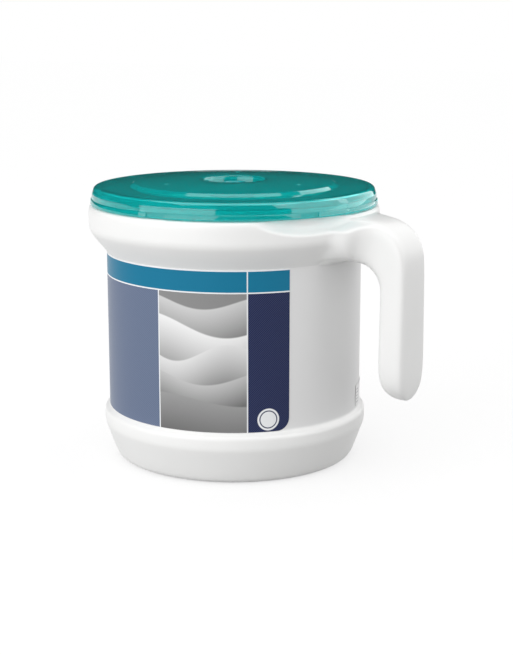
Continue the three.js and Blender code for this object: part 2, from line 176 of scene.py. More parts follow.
def point_outwards(piece: bpy.types.Object) -> None:
    """Merges doubles and turns all faces outwards."""
    focus(piece)
    edit_mode()
    bpy.ops.mesh.select_all(action="SELECT")
    bpy.ops.mesh.remove_doubles(threshold=1e-6)
    bpy.ops.mesh.normals_make_consistent(inside=False)
    object_mode()


def shade(piece: bpy.types.Object, degrees: float) -> None:
    """Shades a piece smooth, apart from edges sharper than an angle."""
    focus(piece)
    bpy.ops.object.shade_smooth_by_angle(angle=math.radians(degrees), keep_sharp_edges=True)


def apply_modifier(piece: bpy.types.Object, modifier: bpy.types.Modifier) -> None:
    """Applies one modifier of a piece."""
    focus(piece)
    bpy.ops.object.modifier_apply(modifier=modifier.name)


def subdivide(piece: bpy.types.Object, levels: int) -> None:
    """Smooths a control mesh by subdivision and keeps the result."""
    finer = piece.modifiers.new("finer", "SUBSURF")
    finer.levels = finer.render_levels = levels
    apply_modifier(piece, finer)


def unit_cube() -> bpy.types.Object:
    """Adds a cube of side 1 round the origin."""
    clear_selection()
    bpy.ops.mesh.primitive_cube_add(size=1, location=(0, 0, 0))
    return active()


def soften(piece: bpy.types.Object, width: float, segments: int) -> None:
    """Rounds all edges of a piece by a width in the units of its mesh."""
    bevel = piece.modifiers.new("soften", "BEVEL")
    bevel.width = width
    bevel.segments = segments
    bevel.limit_method = "NONE"
    apply_modifier(piece, bevel)


def combine(piece: bpy.types.Object, tool: bpy.types.Object, operation: str) -> None:
    """Joins a piece with a tool, or cuts it, and removes the tool.

    Args:
        piece: the piece that stays.
        tool: the closed mesh that joins or cuts it.
        operation: UNION or DIFFERENCE.
    """
    joint = piece.modifiers.new("joint", "BOOLEAN")
    joint.operation = operation
    joint.object = tool
    joint.solver = "EXACT"
    apply_modifier(piece, joint)
    bpy.data.objects.remove(tool, do_unlink=True)


def fillet_profile(corners: Sequence[Corner], steps: int, closed: bool = False) -> list[Ring]:
    """Rounds the corners of a profile.

    Args:
        corners: radius, height and fillet radius of each corner.
        steps: number of stretches that draw a fillet.
        closed: whether the last corner joins the first.

    Returns:
        The rings of the rounded profile.
    """
    rings: list[Ring] = []
    count = len(corners)
    for i, (r, z, fillet) in enumerate(corners):
        here = Vector((r, z))
        if not fillet or (not closed and i in (0, count - 1)):
            rings.append((r, z))
            continue
        before = Vector(corners[i - 1][:2]) - here
        after = Vector(corners[(i + 1) % count][:2]) - here
        reach = fillet / math.tan(before.angle(after) / 2)
        reach = min(reach, 0.48 * before.length, 0.48 * after.length)
        start = here + before.normalized() * reach
        end = here + after.normalized() * reach
        for k in range(steps + 1):
            t = k / steps
            point = start * (1 - t) ** 2 + here * 2 * t * (1 - t) + end * t**2
            rings.append((point.x, point.y))
    return rings


def turned(name: str, rings: Sequence[Ring], sides: int, closed: bool) -> bpy.types.Object:
    """Turns a profile into a piece, by pulling one circle through its rings.

    Args:
        name: name of the new piece.
        rings: radius and height of each ring, in millimetres.
        sides: number of sides of the circle.
        closed: True where the last ring joins the first, False where both ends close on the axis.

    Returns:
        The closed piece, in object mode.
    """
    piece = start_ring(name, *rings[0], sides)
    if not closed:
        bpy.ops.mesh.duplicate()
        close_pole()
        bpy.ops.mesh.select_all(action="DESELECT")
        object_mode()
        first = [v for v in piece.data.vertices if v.co.xy.length > rings[0][0] * MM / 2]
        for vertex in first:
            vertex.select = True
        edit_mode()
    for start, end in zip(rings, rings[1:]):
        pull_ring(start, end)
    if closed:
        select_open_edges()
        bpy.ops.mesh.bridge_edge_loops()
    object_mode()
    return piece


# Nodes of a material


MATH = "ShaderNodeMath"
VECTOR_MATH = "ShaderNodeVectorMath"
SUM = {"operation": "ADD"}
LESS = {"operation": "SUBTRACT"}
PRODUCT = {"operation": "MULTIPLY"}
PRODUCT_AND_SUM = {"operation": "MULTIPLY_ADD"}
SINE = {"operation": "SINE"}
WHITE = (1.0, 1.0, 1.0, 1.0)


def add_node(
    tree: bpy.types.NodeTree, kind: str, settings: dict | None = None, **links: object
) -> bpy.types.Node:
    """Adds a node with its settings, and links or sets its inputs.

    Args:
        tree: the node tree of a material or of the world.
        kind: Blender's name of the node's type.
        settings: attributes of the node.
        links: inputs by name with spaces as underscores, or by number as in_0. A value is a
            socket to link or a number or colour to set.

    Returns:
        The new node.
    """
    node = tree.nodes.new(kind)
    for key, value in (settings or {}).items():
        setattr(node, key, value)
    for key, value in links.items():
        numbered = key.startswith("in_")
        socket = node.inputs[int(key[3:]) if numbered else key.replace("_", " ")]
        if isinstance(value, bpy.types.NodeSocket):
            tree.links.new(value, socket)
        else:
            socket.default_value = value
    return node


class Recipe:
    """A material under construction: its node tree and its surface shader."""

    def __init__(self, name: str) -> None:
        """Starts an empty material with a Principled shader."""
        self.material = bpy.data.materials.new(name)
        self.material.use_nodes = True
        self.tree = self.material.node_tree
        self.shader = self.tree.nodes["Principled BSDF"]
        self.place = self.add("ShaderNodeTexCoord").outputs["Object"]

    def add(self, kind: str, settings: dict | None = None, **links: object) -> bpy.types.Node:
        """Adds a node to the material, as add_node does."""
        return add_node(self.tree, kind, settings, **links)

    def set(self, **values: object) -> None:
        """Sets sockets of the surface shader by name, with spaces as underscores."""
        for key, value in values.items():
            self.shader.inputs[key.replace("_", " ")].default_value = value

    def wire(self, output: bpy.types.NodeSocket, socket: str) -> None:
        """Links an output to a socket of the surface shader."""
        self.tree.links.new(output, self.shader.inputs[socket])

    def relief(self, height: bpy.types.NodeSocket, strength: float, depth_mm: float) -> None:
        """Gives the surface a relief of a depth in millimetres."""
        bump = self.add("ShaderNodeBump", Height=height, Strength=strength, Distance=depth_mm * MM)
        self.wire(bump.outputs["Normal"], "Normal")

    def grain(self, size_mm: float, strength: float, depth_mm: float, detail: float = 2.0) -> None:
        """Gives the surface a random relief of a size and a depth in millimetres."""
        noise = self.add(
            "ShaderNodeTexNoise", Vector=self.place, Scale=1 / (size_mm * MM), Detail=detail
        )
        self.relief(noise.outputs["Fac"], strength, depth_mm)

    def axis_distance(self) -> bpy.types.NodeSocket:
        """Distance from the axis, in millimetres."""
        flat = self.add(VECTOR_MATH, PRODUCT, in_0=self.place, in_1=(1 / MM, 1 / MM, 0.0))
        length = self.add(VECTOR_MATH, {"operation": "LENGTH"}, in_0=flat.outputs["Vector"])
        return length.outputs["Value"]

    def ripple(
        self, length: bpy.types.NodeSocket, pitch: float, height: float
    ) -> bpy.types.NodeSocket:
        """A wave along a length, which swings between 0 and a height once in every pitch."""
        phase = self.add(MATH, PRODUCT, in_0=length, in_1=2 * math.pi / pitch).outputs[0]
        wave = self.add(MATH, SINE, in_0=phase).outputs[0]
        return self.add("ShaderNodeMapRange", Value=wave, From_Min=-1.0, To_Max=height).outputs[0]

    def stripe(
        self, length: bpy.types.NodeSocket, low: float, high: float, soft: float = 0.12
    ) -> bpy.types.NodeSocket:
        """A mask of one stripe.

        Args:
            length: the length across the stripe, in millimetres.
            low: where the stripe starts.
            high: where it ends.
            soft: half width of its edges.

        Returns:
            1 on the stripe and 0 beside it.
        """
        off = self.add(MATH, LESS, in_0=length, in_1=(low + high) / 2).outputs[0]
        far = self.add(MATH, {"operation": "ABSOLUTE"}, in_0=off).outputs[0]
        half = (high - low) / 2
        return self.add(
            "ShaderNodeMapRange",
            Value=far,
            From_Min=half - soft,
            From_Max=half + soft,
            To_Min=1.0,
            To_Max=0.0,
        ).outputs[0]

    def print_over(
        self, ground: object, ink: object, mask: bpy.types.NodeSocket
    ) -> bpy.types.NodeSocket:
        """Lays one colour over another where a mask is 1.

        Args:
            ground: six hex digits or a colour socket.
            ink: the colour that is laid over it, in the same way.
            mask: where the ink lies.

        Returns:
            The printed colour.
        """
        paints = [linear(paint) if isinstance(paint, str) else paint for paint in (ground, ink)]
        node = self.add(
            "ShaderNodeMix", {"data_type": "RGBA"}, in_0=mask, in_6=paints[0], in_7=paints[1]
        )
        return node.outputs[2]

    def unrolled(self, start: float, radius: float) -> tuple[bpy.types.NodeSocket, ...]:
        """Places on a wall round the axis, as if it were unrolled.

        Args:
            start: angle in degrees that lengths are measured from, clockwise seen from above.
            radius: radius of the wall in millimetres.

        Returns:
            Length round the wall and height, both in millimetres.
        """
        parts = self.add("ShaderNodeSeparateXYZ", Vector=self.place)
        angle = self.add(
            MATH, {"operation": "ARCTAN2"}, in_0=parts.outputs["Y"], in_1=parts.outputs["X"]
        ).outputs[0]
        back = self.add(MATH, LESS, in_0=math.radians(start), in_1=angle).outputs[0]
        around = self.add(MATH, PRODUCT, in_0=back, in_1=radius).outputs[0]
        height = self.add(MATH, PRODUCT, in_0=parts.outputs["Z"], in_1=1 / MM).outputs[0]
        return around, height


@dataclass(frozen=True)
class BlowMouldedPolyethylene:
    """White polyethylene, blow moulded: a waxy sheen over a faint orange peel, and painted shade on
    the straight wall.
    """

    colour: str = "f7f7f6"
    cloud_colour: str = "f1f1f0"
    wall_shade_colour: str = "e6e6e6"
    wall_r: float = 100.0
    wall_shade_low: float = 42.0
    wall_shade_high: float = 164.5
    peel_mm: float = 2.2
    peel_depth_mm: float = 0.02
    cloud_mm: float = 45.0
    roughness: float = 0.36

    def material(self) -> bpy.types.Material:
        """Builds the material."""
        recipe = Recipe("blow_moulded_polyethylene")
        cloud = recipe.add(
            "ShaderNodeTexNoise", Vector=recipe.place, Scale=1 / (self.cloud_mm * MM)
        )
        tint = recipe.print_over(self.colour, self.cloud_colour, cloud.outputs["Fac"])
        # painted shade: the straight wall between the ledge and the flare is printed a darker grey,
        # standing in for the shade that the collar's overhang and the handle cast on it
        height = recipe.unrolled(0.0, self.wall_r)[1]
        wall = recipe.add(
            MATH,
            PRODUCT,
            in_0=recipe.stripe(height, self.wall_shade_low, self.wall_shade_high, soft=1.2),
            in_1=recipe.stripe(recipe.axis_distance(), 0.0, self.wall_r + 2.0, soft=0.6),
        ).outputs[0]
        recipe.wire(recipe.print_over(tint, self.wall_shade_colour, wall), "Base Color")
        recipe.set(Roughness=self.roughness, IOR=1.51)
        recipe.grain(self.peel_mm, 0.35, self.peel_depth_mm)
        return recipe.material


@dataclass(frozen=True)
class ClearTealStyrene:
    """Tinted styrene, injection moulded and polished: deep teal, see-through, with sharp gloss."""

    colour: str = "18d4d2"
    roughness: float = 0.03
    clearness: float = 0.72
    flow_mm: float = 60.0
    flow_depth_mm: float = 0.03

    def material(self) -> bpy.types.Material:
        """Builds the material."""
        recipe = Recipe("clear_teal_styrene")
        recipe.set(
            Base_Color=linear(self.colour),
            Roughness=self.roughness,
            IOR=1.59,
            Transmission_Weight=self.clearness,
        )
        recipe.grain(self.flow_mm, 0.1, self.flow_depth_mm, detail=1.0)
        return recipe.material


@dataclass(frozen=True)
class TealAcetal:
    """Teal acetal, injection moulded: opaque, smooth and slightly waxy."""

    colour: str = "18a0a4"
    roughness: float = 0.22
    grain_mm: float = 1.5
    grain_depth_mm: float = 0.01

    def material(self) -> bpy.types.Material:
        """Builds the material."""
        recipe = Recipe("teal_acetal")
        recipe.set(Base_Color=linear(self.colour), Roughness=self.roughness, IOR=1.48)
        recipe.grain(self.grain_mm, 0.2, self.grain_depth_mm)
        return recipe.material


@dataclass(frozen=True)
class EmbossedTissue:
    """Soft tissue wound on itself: matt, warm white, with turns on the ends and small dimples."""

    colour: str = "f3f1ea"
    edge_colour: str = "dcd9cf"
    dimple_mm: float = 2.4
    dimple_depth_mm: float = 0.25
    ply_mm: float = 0.9
    ply_depth: float = 0.6

    def material(self) -> bpy.types.Material:
        """Builds the material."""
        recipe = Recipe("embossed_tissue")
        ply = recipe.ripple(recipe.axis_distance(), self.ply_mm, self.ply_depth)
        dimples = recipe.add(
            "ShaderNodeTexVoronoi",
            {"feature": "SMOOTH_F1"},
            Vector=recipe.place,
            Scale=1 / (self.dimple_mm * MM),
        )
        recipe.wire(recipe.print_over(self.colour, self.edge_colour, ply), "Base Color")
        recipe.set(Roughness=0.95, IOR=1.5, Sheen_Weight=0.15)
        height = recipe.add(MATH, SUM, in_0=dimples.outputs["Distance"], in_1=ply).outputs[0]
        recipe.relief(height, 0.6, self.dimple_depth_mm)
        return recipe.material


@dataclass(frozen=True)
class Sheet:
    """One waving sheet of paper in the label's picture."""

    edge_z: float
    swing: float
    wave_mm: float
    phase: float
    tall: float
    light: str
    dark: str


@dataclass(frozen=True)
class PrintedFilm:
    """Polypropylene film, printed in flat inks: panels, white rules and a picture in greys."""

    band: str = "1c789a"
    slate: str = "63718c"
    navy: str = "0a1c4c"
    rule: str = "f2f4f6"
    ground: str = "8e8e8e"
    disc: str = "f0f1f3"
    roughness: float = 0.32
    screen_mm: float = 1.7
    screen_strength: float = 0.05
    radius: float = 100.55
    start: float = -33.4
    first_rule: float = 32.3
    second_rule: float = 101.3
    rule_z: float = 147.4
    top_z: float = 164.2
    half_rule: float = 0.45
    half_cross_rule: float = 0.5
    top_rule: float = 0.9
    outset: float = 9.0
    disc_at: tuple[float, float] = (16.5, 51.6)
    disc_r: float = 8.4
    disc_ring: tuple[float, float] = (6.1, 6.9)
    sheets: tuple[Sheet, ...] = (
        Sheet(140.0, 5.0, 96.0, 0.4, 30.0, "d2d2d2", "7c7c7c"),
        Sheet(122.0, 8.0, 120.0, 2.2, 34.0, "f2f2f2", "a2a2a2"),
        Sheet(102.0, 7.0, 84.0, 4.4, 30.0, "e4e4e4", "8f8f8f"),
        Sheet(84.0, 6.0, 108.0, 0.9, 22.0, "c4c4c4", "767676"),
        Sheet(66.0, 4.0, 130.0, 3.1, 30.0, "9d9d9d", "6a6a6a"),
    )

    def picture(
        self, recipe: Recipe, around: bpy.types.NodeSocket, height: bpy.types.NodeSocket
    ) -> bpy.types.NodeSocket:
        """Paints sheets of paper that lie in waves over each other.

        Args:
            recipe: the material.
            around: length round the wall, in millimetres.
            height: height in millimetres.

        Returns:
            The picture's colour.
        """
        colour: object = self.ground
        for sheet in self.sheets:
            pitch = 2 * math.pi / sheet.wave_mm
            turn = recipe.add(MATH, PRODUCT_AND_SUM, in_0=around, in_1=pitch, in_2=sheet.phase)
            wave = recipe.add(MATH, SINE, in_0=turn.outputs[0]).outputs[0]
            edge = recipe.add(
                MATH, PRODUCT_AND_SUM, in_0=wave, in_1=sheet.swing, in_2=sheet.edge_z
            ).outputs[0]
            below = recipe.add(MATH, LESS, in_0=edge, in_1=height).outputs[0]
            fade = recipe.add("ShaderNodeMapRange", Value=below, From_Max=sheet.tall).outputs[0]
            tone = recipe.print_over(sheet.light, sheet.dark, fade)
            colour = recipe.print_over(colour, tone, recipe.stripe(below, 0.0, 200.0, soft=0.5))
        return colour

    def material(self) -> bpy.types.Material:
        """Builds the material."""
        recipe = Recipe("printed_film")
        around, height = recipe.unrolled(self.start, self.radius)
        across = recipe.add(MATH, SUM, in_0=around, in_1=height).outputs[0]
        spot = recipe.add("ShaderNodeCombineXYZ", X=around, Y=height).outputs[0]
        off = recipe.add(
            VECTOR_MATH, {"operation": "DISTANCE"}, in_0=spot, in_1=(*self.disc_at, 0.0)
        ).outputs["Value"]
        first, second, cross = self.first_rule, self.second_rule, self.rule_z
        half, half_cross, over = self.half_rule, self.half_cross_rule, self.top_z + self.outset
        layers = (
            (self.navy, recipe.stripe(around, -self.outset, first)),
            # the inks' fine diagonal screen, drawn coarser than it is so that it shows
            ("ffffff", recipe.ripple(across, self.screen_mm, self.screen_strength)),
            (self.picture(recipe, around, height), recipe.stripe(around, first, second)),
            (self.rule, recipe.stripe(around, second - half, second + half)),
            (self.band, recipe.stripe(height, cross, over)),
            (self.rule, recipe.stripe(height, cross - half_cross, cross + half_cross)),
            (self.rule, recipe.stripe(height, self.top_z - self.top_rule, over)),
            (self.rule, recipe.stripe(around, first - half, first + half)),
            (self.disc, recipe.stripe(off, -self.disc_r, self.disc_r)),
            (self.navy, recipe.stripe(off, *self.disc_ring)),
        )
        colour: object = self.slate
        for ink, mask in layers:
            colour = recipe.print_over(colour, ink, mask)
        recipe.wire(colour, "Base Color")
        recipe.set(Roughness=self.roughness, IOR=1.49, Specular_IOR_Level=0.1)
        return recipe.material


@dataclass(frozen=True)
class PlainFilm:
    """White polypropylene film with fine grey rules, for the marks of care."""

    # painted shade: the white film takes the same darker grey as the wall's painted shade, so that
    # it matches the wall around it
    colour: str = "e6e6e6"
    ink: str = "8a8d90"
    roughness: float = 0.3
    radius: float = 100.55
    start: float = 14.0
    rows: int = 5
    row_pitch: float = 2.6
    first_row_z: float = 46.2
    row_ends: tuple[float, float] = (-9.0, -2.0)
    half_row: float = 0.4

    def material(self) -> bpy.types.Material:
        """Builds the material."""
        recipe = Recipe("plain_film")
        around, height = recipe.unrolled(self.start, self.radius)
        colour: object = self.colour
        far, near = self.row_ends
        for row in range(self.rows):
            z = self.first_row_z + self.row_pitch * row
            line = recipe.stripe(height, z - self.half_row, z + self.half_row)
            length = recipe.stripe(around, far + row % 3, near)
            mask = recipe.add(MATH, PRODUCT, in_0=line, in_1=length).outputs[0]
            colour = recipe.print_over(colour, self.ink, mask)
        recipe.wire(colour, "Base Color")
        recipe.set(Roughness=self.roughness, IOR=1.49)
        return recipe.material


# Bucket


@dataclass(frozen=True)
class Side:
    """One side of the handle: a line out along the arm, round the bend and down to the tip."""

    face: float
    bend: float
    arm_z: float
    root_z: float
    tip_run: float


@dataclass
class Handle:
    """The hook handle, pulled out of a patch of the collar through a row of sections."""

    reach: float = 158.7
    thick: float = 21.6
    half_width: float = 20.8
    neck_half_width: float = 18.8
    root_half_width: float = 43.0
    root_x: float = 118.0
    root_top_z: float = 199.9
    root_under_z: float = 166.5
    top_z: float = 198.6
    bend_out: float = 31.0
    bend_in: float = 20.0
    under_z: float = 165.0
    end_z: float = 62.4
    end_height: float = 21.0
    tip_back: float = 4.0
    spread: tuple[float, float] = (114.0, 148.7)
    squareness: float = 6.5
    root_squareness: float = 2.6

    def sides(self) -> tuple[Side, Side]:
        """The outer side, over the arm, and the inner side, under it."""
        back = self.tip_back
        return (
            Side(self.reach, self.bend_out, self.top_z, self.root_top_z, -back),
            Side(
                self.reach - self.thick,
                self.bend_in,
                self.under_z,
                self.root_under_z,
                self.thick - back,
            ),
        )

    def point(self, side: Side, stage: str, t: float) -> Vector:
        """A point on one side of the handle.

        Args:
            side: the side it lies on.
            stage: arm, bend, grip or end.
            t: share of the stage that lies behind it, from 0 to 1.

        Returns:
            Distance from the axis and height, in millimetres.
        """
        low = self.end_z + self.end_height
        centre = Vector((side.face - side.bend, side.arm_z - side.bend))
        turn = math.pi / 2 * t
        if stage == "arm":
            return Vector((self.root_x, side.root_z)).lerp(Vector((centre.x, side.arm_z)), t)
        if stage == "bend":
            return centre + side.bend * Vector((math.sin(turn), math.cos(turn)))
        if stage == "grip":
            return Vector((side.face, centre.y)).lerp(Vector((side.face, low)), t)
        out = side.face + side.tip_run * (1 - math.cos(turn))
        return Vector((out, low - self.end_height * math.sin(turn)))

    def width_at(self, stage: str, t: float, x: float) -> float:
        """Half width of the handle at a section."""
        if stage == "end":
            return self.half_width * math.cos(math.pi / 2 * t)
        if stage == "grip":
            return self.neck_half_width + (self.half_width - self.neck_half_width) * t
        near, far = self.spread
        ease = min(max((far - x) / (far - near), 0.0), 1.0)
        return self.neck_half_width + (self.root_half_width - self.neck_half_width) * ease**3

    def squareness_at(self, stage: str, t: float) -> float:
        """How square a section is: round where it leaves the collar, square along the grip."""
        along = {"arm": 0.3 * t, "bend": 0.3 + 1.4 * t}.get(stage, 1.0)
        return self.root_squareness + (self.squareness - self.root_squareness) * min(along, 1.0)

    def sections(self) -> list[Section]:
        """Outer point, inner point, half width and squareness of each section, to the tip."""
        outer, inner = self.sides()
        stages = {
            "arm": (0.0, 0.5),
            "bend": (0.0, 0.17, 0.34, 0.5, 0.66, 0.83, 1.0),
            "grip": (0.35, 0.7, 1.0),
            "end": (0.3, 0.55, 0.76, 0.9),
        }
        found = []
        for stage, shares in stages.items():
            for t in shares:
                out = self.point(outer, stage, t)
                into = self.point(inner, stage, t)
                width = self.width_at(stage, t, out.x)
                found.append((out, into, width, self.squareness_at(stage, t)))
        return found

    def spot(self, section: Section, a: float, b: float) -> Vector:
        """Place on a section for a place on the patch.

        Args:
            section: outer point, inner point, half width and squareness.
            a: place across the patch, from -1 to 1.
            b: place up the patch, from -1 at the underside to 1 at the top.

        Returns:
            The place in metres.
        """
        out, into, half, power = section
        size = max(abs(a), abs(b))
        across = up = 0.0
        if size:
            norm = (abs(a / size) ** power + abs(b / size) ** power) ** (1 / power)
            across, up = a / norm, b / norm
        middle = (out + into) / 2
        lift = (out - into) / 2
        return Vector((middle.x + lift.x * up, half * across, middle.y + lift.y * up)) * MM


@dataclass
class Bucket:
    """The blow-moulded shell: base bulge, wall, flare, collar, neck and handle in one piece."""

    tube_r: float = 100.0
    wall: float = 2.4
    base_r: float = 104.4
    foot_r: float = 94.0
    pole_r: float = 2.0
    groove_r: tuple[float, float] = (60.0, 72.0)
    groove_depth: float = 2.0
    bulge_z: float = 29.0
    base_top_z: float = 38.6
    ledge_z: float = 41.4
    flare_z: float = 164.6
    collar_z: float = 181.4
    collar_r: float = 114.0
    rim_z: float = 201.2
    neck_r: float = 107.6
    neck_top_z: float = 208.8
    scoop_angle: float = -28.0
    scoop_out: float = 2.6
    scoop_up: float = 2.0
    scoop_half: tuple[float, float, float] = (10.2, 45.0, 13.6)
    scoop_below: float = 18.0
    shoulder: float = 5.0
    scoop_blend: float = 1.8
    sides: int = 96
    patch_low: float = 168.4
    patch_high: float = 197.0
    patch_columns: int = 10
    handle: Handle = field(default_factory=Handle)

    def outside(self) -> list[Ring]:
        """Rings from the middle of the foot up to the neck's top edge."""
        inner, outer = self.groove_r
        deep = self.groove_depth
        foot = fillet_profile(
            [
                (self.pole_r, 0.0, 0),
                (inner - 2 * deep, 0.0, 0),
                (inner - deep, 0.0, 0),
                (inner, deep, 0),
                (outer, deep, 0),
                (outer + deep, 0.0, 0),
                (outer + 2 * deep, 0.0, 0),
                (self.foot_r, 0.0, 9),
                (self.base_r, self.bulge_z, 16),
                (self.base_r, self.base_top_z, 5.2),
                (self.tube_r, self.ledge_z, 1.2),
            ],
            4,
        )
        crease = self.flare_z
        heights = (self.ledge_z + 1.5, 60.0, 100.0, 140.0, crease - 1.2, crease - 0.3)
        wall = [(self.tube_r, z) for z in heights]
        slope = (self.collar_r - self.tube_r) / (self.collar_z - crease)
        flare = [(self.tube_r + 0.7, crease + 0.7)]
        flare += [(self.tube_r + slope * (z - crease), z) for z in (self.patch_low, 171.4, 174.5)]
        # how far the collar stands back from its full radius, from the flare up to the rim
        backs = ((3.0, 178.2), (0.9, 181.0), (0, 184.2), (0, 187.0), (0, 189.8), (0, 192.5))
        backs += ((0, 194.8), (0.1, self.patch_high), (0.7, 199.2), (1.8, 200.7), (3.4, self.rim_z))
        collar = [(self.collar_r - back, z) for back, z in backs]
        top = self.neck_top_z
        outs = ((0.6, self.rim_z), (0, self.rim_z + 0.4), (0, top - 4.4), (0.9, top - 3.2))
        outs += ((0, top - 2.0), (-0.3, top - 0.2))
        neck = [(self.neck_r + out, z) for out, z in outs]
        return foot + wall + flare + collar + neck

    def inside(self) -> list[Ring]:
        """Rings from the neck's top edge down the inside to the middle of the floor."""
        w = self.wall
        neck, collar, tube = self.neck_r - w, self.collar_r - w, self.tube_r - w
        base = self.base_r - w
        inner, outer = self.groove_r
        return [
            (neck + 0.3, self.neck_top_z - 0.2),
            (neck, self.neck_top_z - 1),
            (neck, self.rim_z - w - 1),
            (neck + 1.4, self.rim_z - w - 3),
            (collar, 193.0),
            (collar, self.collar_z + 2),
            (tube + 0.6, self.flare_z + 0.4),
            (tube, self.flare_z - 4),
            (tube, 100.0),
            (tube, self.ledge_z + 2),
            (base - 0.8, self.base_top_z - 1),
            (base, self.bulge_z + 1),
            (self.foot_r + 2.5, 10.0),
            (self.foot_r - 3.5, w + 1),
            (self.foot_r - 8, w),
            (outer + 2 * self.groove_depth, w),
            (outer + 1.4, w + self.groove_depth),
            (inner - 1.4, w + self.groove_depth),
            (inner - 2 * self.groove_depth, w),
            (self.pole_r, w),
        ]

    def scooped(self, co: Vector) -> Vector:
        """Moves a point of the shell in where the thumb scoop is, with a rounded edge."""
        r = co.xy.length / MM
        z = co.z / MM
        if r < self.neck_r + 0.5 or z < self.rim_z - self.scoop_below:
            return co
        angle = math.atan2(co.y, co.x) - math.radians(self.scoop_angle)
        deep, wide, tall = self.scoop_half
        up = (z - self.rim_z - self.scoop_up) / tall
        side = self.collar_r * math.sin(angle) / wide
        rest = 1 - up * up - side * side
        if rest <= 0 or math.cos(angle) < 0:
            return co
        bottom = self.collar_r * math.cos(angle) + self.scoop_out - deep * math.sqrt(rest)
        bottom = bottom / math.cos(angle)
        if r < self.collar_r - self.wall / 2 and z < self.rim_z - self.shoulder:
            bottom -= self.wall
        new_r = max(soft_min(r, bottom, self.scoop_blend), self.neck_r - self.wall + 1.4)
        if z > self.rim_z - self.shoulder:
            new_r = max(new_r, self.neck_r + 0.4)
        return Vector((co.x * new_r / r, co.y * new_r / r, co.z))

    def patch_place(self, co: Vector) -> tuple[float, float]:
        """Place of a control point on the handle's patch, each way from -1 to 1."""
        step = 360 / self.sides
        a = math.degrees(math.atan2(co.y, co.x)) / (step * self.patch_columns / 2)
        rows = [z for _, z in self.outside() if self.patch_low <= z <= self.patch_high]
        nearest = min(range(len(rows)), key=lambda i: abs(rows[i] - co.z / MM))
        return a, 2 * nearest / (len(rows) - 1) - 1

    def pull_handle(self, shell: bpy.types.Object) -> None:
        """Pulls the handle out of the collar, section by section."""
        mesh = shell.data
        half_angle = 360 / self.sides * self.patch_columns / 2
        for face in mesh.polygons:
            c = face.center / MM
            # halfway between the shell's outer and inner wall
            between = min(self.tube_r - 0.5 + (c.z - self.flare_z) / 2, self.collar_r - 1.5)
            face.select = (
                c.xy.length > between
                and self.patch_low < c.z < self.patch_high
                and abs(math.degrees(math.atan2(c.y, c.x))) < half_angle
            )
        focus(shell)
        edit_mode()
        bpy.ops.mesh.select_mode(type="FACE")
        chosen = [vertex for vertex in bmesh.from_edit_mesh(mesh).verts if vertex.select]
        places = [self.patch_place(vertex.co) for vertex in chosen]
        spots = [vertex.co.copy() for vertex in chosen]
        for section in self.handle.sections():
            bpy.ops.mesh.extrude_region_move(TRANSFORM_OT_translate={"value": (0, 0, 0)})
            made = bmesh.from_edit_mesh(mesh)
            moved = list(spots)
            for vertex in [v for v in made.verts if v.select]:
                index = min(range(len(spots)), key=lambda i: (spots[i] - vertex.co).length_squared)
                vertex.co = self.handle.spot(section, *places[index])
                moved[index] = vertex.co.copy()
            spots = moved
            bmesh.update_edit_mesh(mesh)
        object_mode()

    def build(self, finish: bpy.types.Material) -> bpy.types.Object:
        """Models and dresses the bucket.

        Args:
            finish: the bucket's material.

        Returns:
            The finished bucket.
        """
        shell = turned("moulded_bucket", self.outside() + self.inside(), self.sides, False)
        self.pull_handle(shell)
        subdivide(shell, 1)
        for vertex in shell.data.vertices:
            vertex.co = self.scooped(vertex.co)
        subdivide(shell, 1)
        point_outwards(shell)
        shade(shell, 50)
        shell.data.materials.append(finish)
        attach(shell, Body.BODY.value)
        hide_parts("bucket")
        return shell


# Lid


